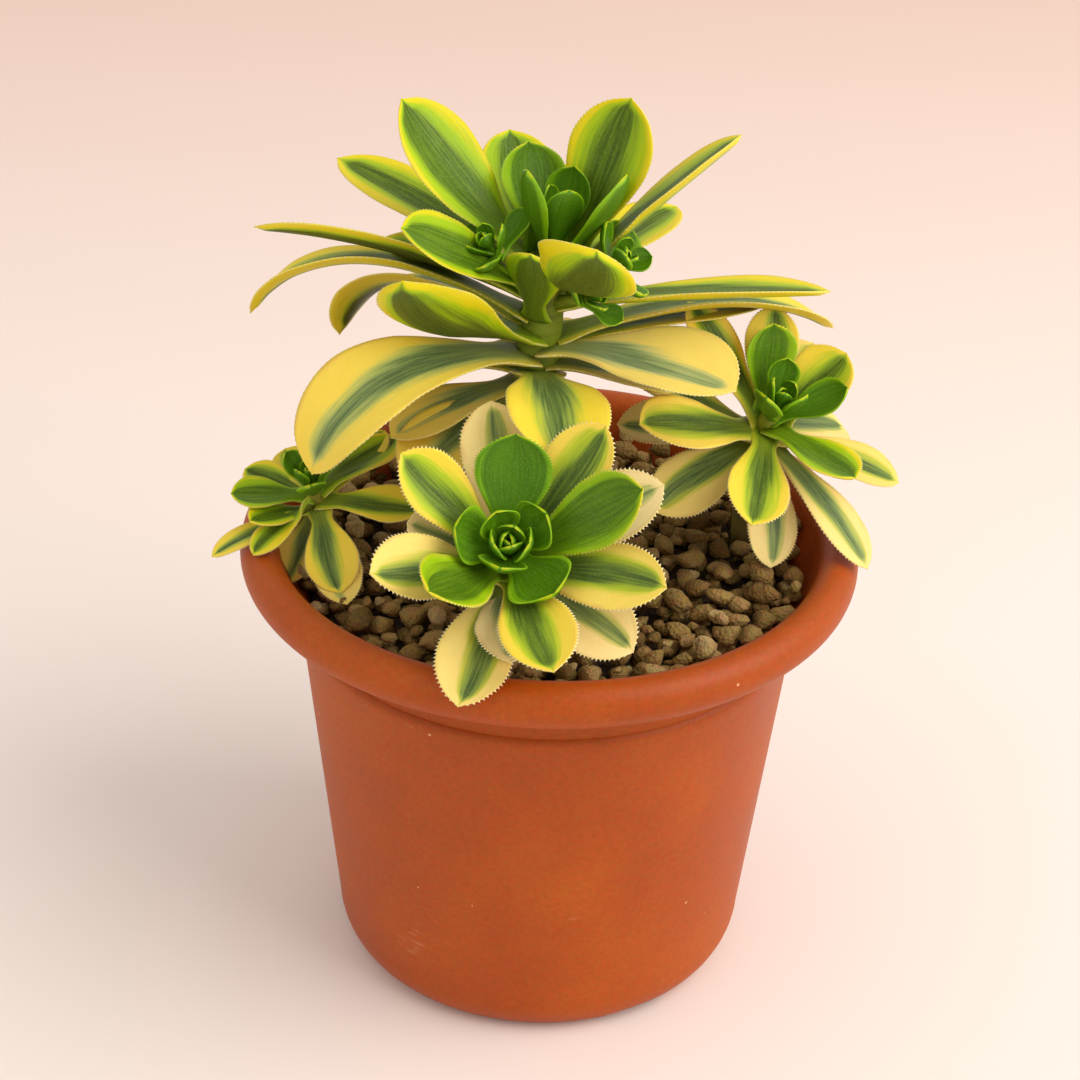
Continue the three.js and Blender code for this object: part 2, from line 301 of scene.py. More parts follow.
def inside_radius(z):
    """How wide the pot is inside at a height, from its middle."""
    climb = (z - FOOT_ROUND) / (BODY_TOP_Z - FOOT_ROUND)
    return BODY_FOOT_RADIUS + (BODY_TOP_RADIUS - BODY_FOOT_RADIUS) * climb - POT_WALL - LEDGE


foot_curve = [
    (
        FOOT_RADIUS + (BODY_FOOT_RADIUS - FOOT_RADIUS) * math.sin(math.radians(a)),
        FOOT_ROUND * (1 - math.cos(math.radians(a))),
    )
    for a in range(0, 91, 9)
]
pot_profile = [
    (FOOT_RADIUS - FOOT_WIDE, BASE_Z),
    (FOOT_RADIUS - FOOT_WIDE + 0.7 * MM, 0.6 * MM),
    (FOOT_RADIUS - FOOT_WIDE + 1.3 * MM, 0),
    *foot_curve,
    (BODY_TOP_RADIUS - 0.3 * MM, BODY_TOP_Z - 2.5 * MM),
    (BODY_TOP_RADIUS, BODY_TOP_Z - 0.6 * MM),
    (BODY_TOP_RADIUS - 0.2 * MM, BODY_TOP_Z + 0.3 * MM),
    (BODY_TOP_RADIUS - LEDGE, BODY_TOP_Z + LEDGE),
    (BODY_TOP_RADIUS - LEDGE, NECK_Z),
    *ellipse(RIM_HALF_WIDE - POT_WALL, RIM_HALF_HIGH - POT_WALL, 180, -75, 12),
    *ellipse(RIM_HALF_WIDE, RIM_HALF_HIGH, -75, 180, 26),
    (inside_radius(NECK_Z) + 3.2 * MM, NECK_Z + 3.6 * MM),
    (inside_radius(NECK_Z) + 0.8 * MM, NECK_Z + 0.9 * MM),
    (inside_radius(NECK_Z), NECK_Z - 1 * MM),
    (inside_radius(FOOT_ROUND), FOOT_ROUND),
    (inside_radius(FOOT_ROUND) - 1.2 * MM, FOOT_ROUND - 2 * MM),
    (FOOT_RADIUS, BASE_Z + POT_WALL),
]
bpy.ops.object.select_all(action="DESELECT")
bpy.ops.mesh.primitive_circle_add(
    vertices=POT_SIDES, radius=pot_profile[0][0], location=pot_axis + Vector((0, 0, BASE_Z))
)
pot = bpy.context.object
pot.name = "moulded_pot"
bpy.ops.object.transform_apply(location=True, rotation=True, scale=True)
open_piece(pot)
pick(pot, "EDGE", lambda edge: True)
for (radius, z), (next_radius, next_z) in zip(pot_profile, pot_profile[1:]):
    bpy.ops.mesh.extrude_region_move(TRANSFORM_OT_translate={"value": (0, 0, next_z - z)})
    grow = next_radius / radius
    bpy.ops.transform.resize(value=(grow, grow, 1), center_override=pot_axis)
bpy.ops.mesh.edge_face_add()
pick(pot, "EDGE", lambda edge: edge.is_boundary)
bpy.ops.mesh.edge_face_add()
bpy.ops.mesh.select_all(action="SELECT")
bpy.ops.mesh.normals_make_consistent(inside=False)
close_piece()

openings = [
    ((ARCH_WIDE / 2, ARCH_HIGH, 4 * FOOT_WIDE), FOOT_RADIUS, 0, math.radians(turn), True)
    for turn in ARCH_TURNS
] + [
    (
        (HOLE_RADIUS, HOLE_RADIUS, 4 * POT_WALL), HOLE_CIRCLE, BASE_Z,
        2 * math.pi / HOLE_COUNT * i, False,
    )
    for i in range(HOLE_COUNT)
]
for (half_wide, half_high, length), reach, z, turn, lying in openings:
    bpy.ops.object.select_all(action="DESELECT")
    bpy.ops.mesh.primitive_cylinder_add(vertices=32, radius=1, depth=1)
    cutter = bpy.context.object
    shape = Matrix.Diagonal((half_wide, half_high, length, 1))
    if lying:
        lay = Matrix.Rotation(math.pi / 2, 4, "Z") @ Matrix.Rotation(math.pi / 2, 4, "X")
        shape = lay @ shape
    cutter.data.transform(
        Matrix.Translation(pot_axis)
        @ Matrix.Rotation(turn, 4, "Z")
        @ Matrix.Translation((reach, 0, z))
        @ shape
    )
    drill = pot.modifiers.new("opening", "BOOLEAN")
    drill.operation = "DIFFERENCE"
    drill.object = cutter
    bpy.context.view_layer.objects.active = pot
    bpy.ops.object.modifier_apply(modifier=drill.name)
    bpy.data.objects.remove(cutter)
bpy.ops.object.select_all(action="DESELECT")
pot.select_set(True)
bpy.ops.object.shade_smooth_by_angle(angle=math.radians(40))

# Injection-moulded polypropylene: a soft, uneven sheen, faint cloudy flow marks in the colour,
# a fine matt skin, pale handling scuffs that run round the wall, and specks of dried dust.
plastic, tree, shader, place = new_material("injection_moulded_polypropylene")
clouds = clouded(tree, place, 1 / CLOUD_WIDE, 4.0)["Fac"]
skin_grain = clouded(tree, place, 1 / SKIN_GRAIN, 3.0)
tint = ramp(tree, clouds, [(0.3, POT_DARK), (0.5, POT_COLOUR), (0.72, POT_LIGHT)])
fine = mixed(tree, 0.4, tint, skin_grain["Color"], "SOFT_LIGHT")
scuff_place = stretched(tree, place, (1 / SCUFF_LONG, 1 / SCUFF_LONG, 1 / SCUFF_HIGH))
scuff_noise = clouded(tree, scuff_place, 1.0, 5.0)["Fac"]
scuff_patch = clouded(tree, place, 1 / SCUFFED_PATCH, 1.0)["Fac"]
scuffs = ramp(tree, calc(tree, "MULTIPLY", scuff_noise, scuff_patch), [(0.42, 0.0), (0.6, 0.3)])
scuffed = mixed(tree, scuffs, fine, linear(SCUFF_COLOUR))
speck_cells = celled(tree, place, 1 / SPECK_APART)
speck_draw = add_node(tree, "ShaderNodeSeparateColor", {"Color": speck_cells["Color"]}).outputs
speck_edge = calc(tree, "MULTIPLY", speck_draw["Red"], 0.07)
specks = calc(tree, "LESS_THAN", speck_cells["Distance"], speck_edge)
speck_kept = calc(tree, "GREATER_THAN", speck_draw["Green"], 0.62)
speck_mask = calc(tree, "MULTIPLY", specks, speck_kept)
feed(tree, shader, {
    "Base Color": mixed(tree, speck_mask, scuffed, linear(SPECK_COLOUR)),
    "Roughness": fitted(tree, clouds, 0.3, 0.7, 0.4, 0.54),
    "Normal": bumped(tree, skin_grain["Fac"], 0.35, 0.12 * MM),
    "IOR": 1.49, "Specular IOR Level": 0.27,
})
finish_piece(pot, plastic, "pot", "pot")

# ---- Grit ------------------------------------------------------------------------------
# Hard-fired clay grit of 3 to 7 mm with some finer bits, tipped in loose over a darker bed
# of potting mix. The grains are tumbled lumps, and each settles between those below it.
GRIT_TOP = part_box("grit")[1][2]
BED_Z = GRIT_TOP - 5.5 * MM
BED_THICK = 12 * MM
BED_RADIUS = inside_radius(BED_Z) - 0.3 * MM
BED_RINGS = 9
BED_LUMP_WIDE = 7 * MM
BED_LUMP_HIGH = 1.2 * MM
MIX_TONES = ("#4a331c", "#20140a")
CRUMB = 1.4 * MM
GRAIN_COUNT = 900
GRAIN_SIZES = (3.4 * MM, 6.6 * MM)
FINE_GRAIN = 0.6  # size of every third grain, as a share
GRAIN_BASES = 8
GRAIN_CHIPS = 4
CHIP_DEPTHS = (0.26, 0.38)  # from the grain's middle, as a share of its size
GRAIN_TALL = 0.72  # half height, as a share of half width
GRAIN_UNDER = 0.85  # the part of a grain that rests on those below
GRAIN_RISE = 0.55
GRAIN_ROCK = 0.35  # how unevenly grains lie, in radians
HEAP_CELL = 0.6 * MM
GRAIN_TRIES = 7
FLARE = 0.72  # how fast the pot's mouth opens above the neck
CLAY_TONES = ("#6e5428", "#886a38", "#a0804a", "#b69864")
MOTTLE = 1.7 * MM
PIT = 0.7 * MM
chance = random.Random(7)


def stem_foot(name):
    """Where a stem stands in the bed, and its radius there."""
    mesh = bpy.data.objects[name].data
    near = [v.co for v in mesh.vertices if v.co.z < GRIT_TOP + 6 * MM]
    top = max(p.z for p in near)
    ring = [p for p in near if p.z > top - 4 * MM]
    middle = sum(ring, Vector()) / len(ring)
    return middle, max((p - middle).to_2d().length for p in ring)


SHOOTS = ("crown", "front", "right", "left")
stem_feet = [stem_foot(f"{shoot}_stem") for shoot in SHOOTS]

bpy.ops.object.select_all(action="DESELECT")
bpy.ops.mesh.primitive_circle_add(
    vertices=64, radius=BED_RADIUS, fill_type="NGON", location=pot_axis + Vector((0, 0, BED_Z))
)
bed = bpy.context.object
bed.name = "grit_bed"
bpy.ops.object.transform_apply(location=True, rotation=True, scale=True)
open_piece(bed)
pick(bed, "FACE", lambda face: True)
bpy.ops.mesh.extrude_region_move(TRANSFORM_OT_translate={"value": (0, 0, -BED_THICK)})
pick(
    bed, "FACE",
    lambda face: face.calc_center_median().z > BED_Z - MM and abs(face.normal.z) > 0.9,
)
for ring in range(BED_RINGS):
    bpy.ops.mesh.inset(thickness=BED_RADIUS / (BED_RINGS + 1))
bpy.ops.mesh.select_all(action="SELECT")
bpy.ops.mesh.normals_make_consistent(inside=False)
close_piece()
for corner in bed.data.vertices:
    if corner.co.z > BED_Z - MM:
        corner.co.z += noise.noise(corner.co / BED_LUMP_WIDE) * BED_LUMP_HIGH
bpy.ops.object.select_all(action="DESELECT")
bed.select_set(True)
bpy.ops.object.shade_smooth_by_angle(angle=math.radians(60))

# Loose potting mix: almost black brown crumbs, quite matt, about 1 mm across.
mix_soil, tree, shader, place = new_material("loose_potting_mix")
crumbs = celled(tree, place, 1 / CRUMB)["Distance"]
feed(tree, shader, {
    "Base Color": ramp(tree, crumbs, zip((0.1, 0.8), MIX_TONES)),
    "Normal": bumped(tree, crumbs, 0.8, MM / 2),
    "Roughness": 0.95,
})
finish_piece(bed, mix_soil, "grit", "grit")

# A base grain is a ball of clay with a few flats broken off, its edges tumbled round.
base_grains = []
for base in range(GRAIN_BASES):
    bpy.ops.object.select_all(action="DESELECT")
    bpy.ops.mesh.primitive_ico_sphere_add(subdivisions=2, radius=0.5)
    grain = bpy.context.object
    open_piece(grain)
    bpy.ops.mesh.select_all(action="SELECT")
    bpy.ops.transform.resize(
        value=(1.25, chance.uniform(0.7, 0.95), chance.uniform(0.55, 0.8)),
        center_override=(0, 0, 0),
    )
    for chip in range(GRAIN_CHIPS):
        way = Vector([chance.uniform(-1, 1) for _ in range(3)]).normalized()
        bpy.ops.mesh.select_all(action="SELECT")
        bpy.ops.mesh.bisect(
            plane_co=way * chance.uniform(*CHIP_DEPTHS), plane_no=way,
            use_fill=True, clear_outer=True,
        )
    bpy.ops.mesh.select_all(action="SELECT")
    bpy.ops.mesh.remove_doubles(threshold=0.04)
    bpy.ops.transform.vertex_random(offset=0.06, seed=base)
    bpy.ops.mesh.vertices_smooth(factor=0.5, repeat=2)
    bpy.ops.mesh.quads_convert_to_tris()
    bpy.ops.mesh.normals_make_consistent(inside=False)
    close_piece()
    bpy.ops.object.shade_smooth()
    base_grains.append(grain.data)
    bpy.data.objects.remove(grain)

heap = {}


def heap_cells(x, y, reach):
    """The cells of the heap's surface under a grain, with each one's share of its reach."""
    low_i, high_i = int((x - reach) // HEAP_CELL), int((x + reach) // HEAP_CELL)
    low_j, high_j = int((y - reach) // HEAP_CELL), int((y + reach) // HEAP_CELL)
    for i in range(low_i, high_i + 1):
        for j in range(low_j, high_j + 1):
            share = math.hypot((i + 0.5) * HEAP_CELL - x, (j + 0.5) * HEAP_CELL - y) / reach
            if share < 1:
                yield (i, j), share


grains = []
for number in range(GRAIN_COUNT):
    size = chance.uniform(*GRAIN_SIZES) * (FINE_GRAIN if number % 3 == 0 else 1)
    half = size / 2
    best = None
    for attempt in range(GRAIN_TRIES):
        turn = chance.uniform(0, 2 * math.pi)
        out = math.sqrt(chance.random()) * (RIM_MIDDLE - RIM_HALF_WIDE)
        x, y = pot_axis.x + out * math.cos(turn), pot_axis.y + out * math.sin(turn)
        if any(math.hypot(x - p.x, y - p.y) < r + half * 0.8 for p, r in stem_feet):
            continue
        floor_z = max(
            heap.get(cell, BED_Z) - half * GRAIN_TALL * (1 - math.sqrt(1 - share * share))
            for cell, share in heap_cells(x, y, half * GRAIN_UNDER)
        )
        mouth = BED_RADIUS + max(0, floor_z + half - NECK_Z) * FLARE
        if out + half * 0.9 > mouth:
            continue
        if best is None or floor_z < best[2]:
            best = (x, y, floor_z)
    if best is None:
        continue
    x, y, floor_z = best
    middle = Vector((x, y, floor_z + half * GRAIN_RISE))
    for cell, share in heap_cells(x, y, half * GRAIN_UNDER):
        top = middle.z + half * GRAIN_TALL * math.sqrt(1 - share * share)
        heap[cell] = max(heap.get(cell, BED_Z), top)
    mesh = chance.choice(base_grains).copy()
    spin = Quaternion((0, 0, 1), chance.uniform(0, 2 * math.pi))
    rock = Quaternion((math.cos(turn), math.sin(turn), 0), chance.gauss(0, GRAIN_ROCK))
    mesh.transform(Matrix.LocRotScale(middle, rock @ spin, (size, size, size)))
    tone = mesh.attributes.new("grain_tone", "FLOAT", "POINT")
    tone.data.foreach_set("value", [chance.random()] * len(mesh.vertices))
    grain = bpy.data.objects.new("grain", mesh)
    bpy.context.collection.objects.link(grain)
    grains.append(grain)


def join_pieces(pieces, name):
    """Joins separate small pieces into one of that name."""
    bpy.ops.object.select_all(action="DESELECT")
    for piece in pieces:
        piece.select_set(True)
    bpy.context.view_layer.objects.active = pieces[0]
    if len(pieces) > 1:
        bpy.ops.object.join()
    pieces[0].name = name
    return pieces[0]


grit = join_pieces(grains, "grit_grains")

# Fired clay grit: dusty grey-brown to tan, each grain its own tone, quite matt, with a
# pitted, sandy skin whose hollows are darkened with painted shade.
clay, tree, shader, place = new_material("fired_clay_grit")
shade = ramp(tree, attribute(tree, "grain_tone"), zip((0, 0.35, 0.7, 1), CLAY_TONES))
mottle = clouded(tree, place, 1 / MOTTLE, 5.0)
mottled = mixed(tree, 0.5, shade, mottle["Color"], "SOFT_LIGHT")
pits = celled(tree, place, 1 / PIT)["Distance"]
# Painted shade: the colour darkens towards the middle of each pit.
pit_painted_shade = ramp(tree, pits, [(0.05, 0.55), (0.3, 1.0)])
feed(tree, shader, {
    "Base Color": mixed(tree, 0.6, mottled, pit_painted_shade, "MULTIPLY"),
    "Normal": bumped(tree, calc(tree, "ADD", mottle["Fac"], pits), 0.8, MM / 2),
    "Roughness": 0.92, "Specular IOR Level": 0.25,
})
finish_piece(grit, clay, "grit")

# ---- Stems -----------------------------------------------------------------------------
# Fleshy green stems, corky low down where old leaves have dropped and left their scars,
# and smooth and green near the top where leaves still clasp them.
STEM_SWELL = 0.35 * MM  # makes up for what smoothing takes off
STEM_RIPPLE = 0.3 * MM
SCAR_APART = 2.4 * MM
SCAR_WIDE = 8 * MM
STEM_BLOTCH = 3 * MM
STEM_TONES = ("#6e5a30", "#87802c", "#8c9226", "#84921c")  # from the soil up
GREEN_ABOVE = 45 * MM  # the height over the grit at which a stem is green


def merged_copy(node_name, name):
    """A new piece with the shape of a CAD node, its corners joined up."""
    piece = bpy.data.objects.new(name, bpy.data.objects[node_name].data.copy())
    bpy.context.collection.objects.link(piece)
    open_piece(piece)
    bpy.ops.mesh.select_all(action="SELECT")
    bpy.ops.mesh.remove_doubles(threshold=0.01 * MM)
    close_piece()
    return piece


def rings_from(piece, start):
    """Rings of corners, one past another, from the pole nearest to a point."""
    shape = bmesh.new()
    shape.from_mesh(piece.data)
    poles = [v for v in shape.verts if len(v.link_edges) == 8]
    seen = {min(poles, key=lambda v: (v.co - start).length)}
    ring, rings = list(seen), []
    while ring:
        rings.append([v.co.copy() for v in ring])
        ring = [e.other_vert(v) for v in ring for e in v.link_edges]
        ring = [v for v in dict.fromkeys(ring) if v not in seen]
        seen.update(ring)
    shape.free()
    return rings


def middle_of(points):
    """The mean of some points."""
    return sum(points, Vector()) / len(points)


# Juvenile houseleek stem: waxy olive green over a paler skin, ringed with thin scars about
# 2 mm apart, browner and duller towards the soil.
bark, tree, shader, place = new_material("houseleek_stem_skin")
height = add_node(tree, "ShaderNodeSeparateXYZ", {"Vector": place}).outputs["Z"]
climb = fitted(tree, height, GRIT_TOP, GRIT_TOP + GREEN_ABOVE)
blotch = clouded(tree, place, 1 / STEM_BLOTCH, 4.0)["Fac"]
uneven = calc(tree, "MULTIPLY_ADD", blotch, 0.35, climb)
stem_tint = ramp(tree, uneven, zip((0.1, 0.4, 0.7, 1), STEM_TONES))
scars = clouded(tree, stretched(tree, place, (90.0, 90.0, 1 / (2.2 * MM))), 1.0, 2.0)["Fac"]
scar_dark = ramp(tree, scars, [(0.35, 0.55), (0.5, 1.0)])
feed(tree, shader, {
    "Base Color": mixed(tree, 0.7, stem_tint, scar_dark, "MULTIPLY"),
    "Normal": bumped(tree, scars, 0.5, MM / 2),
    "Roughness": 0.55,
})

hubs = {}
for shoot in SHOOTS:
    stem = merged_copy(f"{shoot}_stem", f"{shoot}_stalk")
    rings = rings_from(stem, pot_axis)
    top = middle_of(rings[-2])
    axis = (top - middle_of(rings[-3])).normalized()
    hubs[shoot] = (top, Vector((0, 0, 1)).rotation_difference(axis))
    smooth = stem.modifiers.new("round", "SUBSURF")
    smooth.levels = smooth.render_levels = 3
    bpy.context.view_layer.objects.active = stem
    bpy.ops.object.modifier_apply(modifier=smooth.name)
    open_piece(stem)
    bpy.ops.mesh.select_all(action="SELECT")
    bpy.ops.transform.shrink_fatten(value=STEM_SWELL)
    close_piece()
    outward = [corner.normal.copy() for corner in stem.data.vertices]
    for corner, way in zip(stem.data.vertices, outward):
        x, y, z = corner.co
        spot = Vector((x / SCAR_WIDE, y / SCAR_WIDE, z / SCAR_APART))
        corner.co += way * noise.noise(spot) * STEM_RIPPLE
    bpy.ops.object.select_all(action="DESELECT")
    stem.select_set(True)
    bpy.ops.object.shade_smooth()
    finish_piece(stem, bark, "stem", f"{shoot}_stem")

# ---- Leaf blades -----------------------------------------------------------------------
# Fleshy houseleek leaves: narrow at the foot, widest two thirds out, with a short point, a
# shallow trough above and a keel below, and a row of fine pale teeth along each margin.
WIDEST = 0.65
FOOT_SHARE = 0.34  # width above the foot
CLASP = 0.25  # what the foot adds where it clasps the stem
POINT = 0.016  # how far the short point reaches, as a share of the length
BROAD_PART = 0.85  # a CAD leaf is measured where its outline is at least this wide
ROOTED = 2.5 * MM  # how far the foot runs on into the stem
BLADE_THICK = 0.55 * MM  # half of the thickness at the foot: this, and a share of the width
BLADE_THICK_SHARE = 0.075
TIP_THINNER = 0.55
EDGE_THICK = 0.28 * MM
TROUGH = 0.24
SWELL = 0.45  # how far the skin stands out above and below, as shares of that thickness
KEEL = 1.05
GROOVE_DEEP = 0.18 * MM
GROOVE_WIDE = 0.1
STRIPE_SWAY = 0.5
RAGGED_EDGE = 0.025
EDGE_FLUTTER = 0.05
BLADE_WAVE = 0.02
TOOTH_SLANT = 0.55
BARE_FOOT = 0.14  # the share of the length before the first teeth
WELD = 0.008 * MM
CELLS_ACROSS = 12
TEMPLATE_TOOTH = 0.2


def leaf_blank(name, cells):
    """A flat slab, 2 wide, 2 long and 1 thick, with a tooth on every second margin cell."""
    bpy.ops.object.select_all(action="DESELECT")
    bpy.ops.mesh.primitive_grid_add(x_subdivisions=CELLS_ACROSS, y_subdivisions=cells, size=2)
    blank = bpy.context.object
    blank.name = name
    open_piece(blank)
    bpy.ops.mesh.select_all(action="SELECT")
    bpy.ops.mesh.extrude_region_move(TRANSFORM_OT_translate={"value": (0, 0, -1)})
    bpy.ops.mesh.select_all(action="SELECT")
    bpy.ops.mesh.normals_make_consistent(inside=False)
    for side in (-1, 1):
        pick(
            blank, "FACE",
            lambda face: face.normal.x * side > 0.9
            and int((face.calc_center_median().y + 1) / 2 * cells) % 2 == 0,
        )
        bpy.ops.mesh.extrude_region_move(
            TRANSFORM_OT_translate={"value": (TEMPLATE_TOOTH * side, 0, 0)}
        )
        bpy.ops.mesh.merge(type="COLLAPSE")
    close_piece()
    bpy.ops.object.shade_smooth()
    mesh = blank.data
    bpy.data.objects.remove(blank)
    return mesh


def spread(t):
    """A leaf's half width at a share of its length, as a share of its widest."""
    if t < WIDEST:
        climb = t / WIDEST
        clasp = CLASP * math.exp(-t / 0.05)
        return FOOT_SHARE + clasp + (1 - FOOT_SHARE) * climb * climb * (3 - 2 * climb)
    fall = (t - WIDEST) / (1 - WIDEST)
    point = 1 - math.exp((t - 1) / POINT)
    return max(0, 1 - fall ** 2.3) ** 0.78 * point


def course_of(node_name, start):
    """The way a CAD leaf runs, as (share, middle, side, up), with its half width and length."""
    solid = merged_copy(node_name, "measure")
    rings = rings_from(solid, start)
    bpy.data.objects.remove(solid)
    middles = [middle_of(ring) for ring in rings]
    steps = [(b - a).length for a, b in zip(middles, middles[1:])]
    length = sum(steps)
    course, half = [], 0
    for i, ring in enumerate(rings[1:-1], start=1):
        share = sum(steps[:i]) / length
        a, b = max(
            ((p, q) for p in ring for q in ring), key=lambda pair: (pair[0] - pair[1]).length
        )
        run = (middles[i + 1] - middles[i - 1]).normalized()
        side = ((b - a) - (b - a).dot(run) * run).normalized()
        others = [p for p in ring if p not in (a, b)]
        up = run.cross(side)
        if ((a + b) / 2 - middle_of(others)).dot(up) < 0:
            side, up = -side, -up
        course.append([share, middles[i], side, up])
        if spread(share) > BROAD_PART:
            half = max(half, (b - a).length / 2 / spread(share))
    # The first ring has no trough to tell its top by, so it takes its way from the next.
    if course[0][3].dot(course[1][3]) < 0:
        course[0][2:] = [-course[0][2], -course[0][3]]
    course.insert(0, [0, middles[0], course[0][2], course[0][3]])
    course.append([1, middles[-1], course[-1][2], course[-1][3]])
    return course, half, length


def course_from(hub, turn, rise, length, width, droop, height, socket):
    """The way of a leaf that leaves a hub at a turn, a rise and a height, and droops."""
    origin, lean = hub
    turn = math.radians(turn)
    out = Vector((math.cos(turn), math.sin(turn), 0))
    side = Vector((math.sin(turn), -math.cos(turn), 0))
    point = out * socket + Vector((0, 0, height))
    course, steps = [], 12
    for i in range(steps + 1):
        t = i / steps
        slope = math.radians(rise - droop * t * t)
        run = out * math.cos(slope) + Vector((0, 0, math.sin(slope)))
        course.append([t, origin + lean @ point, lean @ side, lean @ side.cross(run)])
        point = point + run * (length / steps)
    return course, width / 2, length


def along_course(course, t):
    """The middle, side and up of a leaf at a share of its length, smoothly between stations."""
    last = len(course) - 2
    i = min(last, max(k for k in range(last + 1) if course[k][0] <= t or k == 0))
    t0, t1 = course[i][0], course[i + 1][0]
    p0, p1 = course[i][1], course[i + 1][1]
    before = course[max(0, i - 1)]
    after = course[min(len(course) - 1, i + 2)]
    span = t1 - t0
    slope0 = (p1 - before[1]) / (t1 - before[0]) * span
    slope1 = (after[1] - p0) / (after[0] - t0) * span
    u = (t - t0) / span
    middle = (
        p0 * (2 * u ** 3 - 3 * u ** 2 + 1) + slope0 * (u ** 3 - 2 * u ** 2 + u)
        + p1 * (3 * u ** 2 - 2 * u ** 3) + slope1 * (u ** 3 - u ** 2)
    )
    side = course[i][2].lerp(course[i + 1][2], u).normalized()
    up = course[i][3].lerp(course[i + 1][3], u).normalized()
    return middle, side, up


def grow_leaf(name, blank, course, half, length, age, cream, tooth, seed, cup=TROUGH):
    """A leaf blade: a copy of the blank laid along its course."""
    mesh = blank.copy()
    mesh.name = name
    piece = bpy.data.objects.new(name, mesh)
    bpy.context.collection.objects.link(piece)
    thick = BLADE_THICK + BLADE_THICK_SHARE * half
    start = course[0][1]
    course[0][1] = start - (course[1][1] - start).normalized() * ROOTED
    sway = STRIPE_SWAY * noise.noise(Vector((seed * 1.7, 2.5, 0.5)))
    values = {key: [] for key in ("rim", "band", "tooth_tip", "underside")}
    streaks, uv_of = [], []
    stations = {}
    for corner in mesh.vertices:
        x, t, below = corner.co.x, (corner.co.y + 1) / 2, -corner.co.z
        t = 0.5 * t + 0.5 * (1 - (1 - t) ** 1.5) if t < 1 else 1
        key = round(t, 4)
        if key not in stations:
            wave = noise.noise(Vector((t * 2.2, seed, 0.5)))
            stations[key] = (*along_course(course, t), spread(t) * half, wave)
        middle, side, up, reach, wave = stations[key]
        tip = abs(x) > 1.01
        across = max(-1, min(1, x))
        across = 0.4 * across + 0.6 * math.sin(across * math.pi / 2)
        ragged = 1 + RAGGED_EDGE * noise.noise(Vector((t * 7, seed * 3, across)))
        belly = (1 - across * across) ** 0.75
        depth = thick * (1 - TIP_THINNER * t) * min(1, reach / (0.3 * half))
        flute = cup * reach * min(1, 2.4 * t) * (abs(across) ** 1.7 - 0.45)
        groove = -GROOVE_DEEP * math.exp(-(across / GROOVE_WIDE) ** 2) * min(1, 3 * t)
        top = flute + SWELL * depth * belly + groove + EDGE_THICK / 2
        bottom = flute - KEEL * depth * belly - EDGE_THICK / 2
        ripple = noise.noise(Vector((t * 3.5, seed, 4 * across)))
        flutter = EDGE_FLUTTER * reach * ripple * across * across
        lift = top + (bottom - top) * below + flutter
        place = middle + side * across * reach * ragged + up * (lift + BLADE_WAVE * half * wave)
        if tip:
            grown = min(1, max(0, (t - BARE_FOOT) / 0.2)) * min(1, (1 - t) / 0.05)
            grown *= 0.7 + 0.6 * abs(noise.noise(Vector((t * 60, seed, x))))
            forward = (along_course(course, min(1, t + 0.01))[0] - middle).normalized()
            slant = (side * math.copysign(1, x) + forward * TOOTH_SLANT).normalized()
            place = middle + side * across * reach * ragged + up * lift + slant * tooth * grown
        corner.co = place
        values["rim"].append(1 - abs(across))
        values["band"].append(1 - abs(across - sway * (1 - across * across)))
        values["tooth_tip"].append(1.0 if tip else 0.0)
        values["underside"].append(below)
        streaks.append((across * half / MM, t * length / MM, seed * 17.3))
        uv_of.append(((across + 1) / 2, t))
    for key, column in values.items():
        mesh.attributes.new(key, "FLOAT", "POINT").data.foreach_set("value", column)
    count = len(mesh.vertices)
    mesh.attributes.new("age", "FLOAT", "POINT").data.foreach_set("value", [age] * count)
    mesh.attributes.new("cream", "FLOAT", "POINT").data.foreach_set("value", [cream] * count)
    flat = [value for place in streaks for value in place]
    mesh.attributes.new("streak", "FLOAT_VECTOR", "POINT").data.foreach_set("vector", flat)
    layer = mesh.uv_layers.active or mesh.uv_layers.new(name="blade")
    layer.name = "blade"
    for loop in mesh.loops:
        layer.data[loop.index].uv = uv_of[loop.vertex_index]
    open_piece(piece)
    bpy.ops.mesh.select_all(action="SELECT")
    bpy.ops.mesh.remove_doubles(threshold=WELD)
    bpy.ops.mesh.normals_make_consistent(inside=False)
    close_piece()
    return piece


# Colours by age, from the youngest leaves to the oldest; the margins' by how pale they are.
CORE_GREENS = [
    (0, "#467402"), (0.3, "#486a02"), (0.5, "#42560a"), (0.75, "#4a6032"), (1, "#6a7c52"),
]
BAND_GREENS = [(0, "#5a8e02"), (0.3, "#789a06"), (0.6, "#7e982a"), (1, "#a4b074")]
LIMES = [(0, "#7cae06"), (0.4, "#a8c604"), (0.75, "#ccca3c"), (1, "#dccd86")]
MARGINS = [(0, "#a4bc06"), (0.3, "#e6d404"), (0.6, "#f4d444"), (1, "#f9dfa0")]
FOOT_GREENS = [(0, "#588c06"), (0.5, "#8aa00e"), (1, "#b2ae3a")]
BLUSH = "#e39a5c"
CLEAR_EDGE = "#e4de7a"
# The undersides' dark olive is partly the leaf's own back and partly painted shade.
SHADED_DULL_BACK = "#595f1c"
FARINA = "#aebe6e"
TOOTH_COLOUR = "#fbf0d8"
VEINS_PER_MM = (1.9, 0.09, 1.0)  # across the leaf, along it, and from leaf to leaf
BANDS_PER_MM = (0.34, 0.035, 1.0)
PATCHES_PER_MM = 0.22
DOTS_PER_MM = 2.6
VEIN_FRAY = 0.3  # how far veins and bands shift the edges of the stripe
BAND_FRAY = 0.5
MEAN_FRAY = 0.4
# How far in from the margin the green begins, by age, as a share of the half width.
MARGIN_WIDTHS = ((0.0, -0.05), (0.25, 0.16), (0.5, 0.36), (0.75, 0.45), (1.0, 0.53))
LIME_DRAWS_IN = -0.5  # on young leaves the lime reaches the margin, on old it hugs the green
# Where each zone begins and where it is full, inward from there.
GREEN_ZONE = (-0.02, 0.4)
LIME_ZONE = (-0.52, -0.17)
CORE_ZONE = (0.2, 0.5)

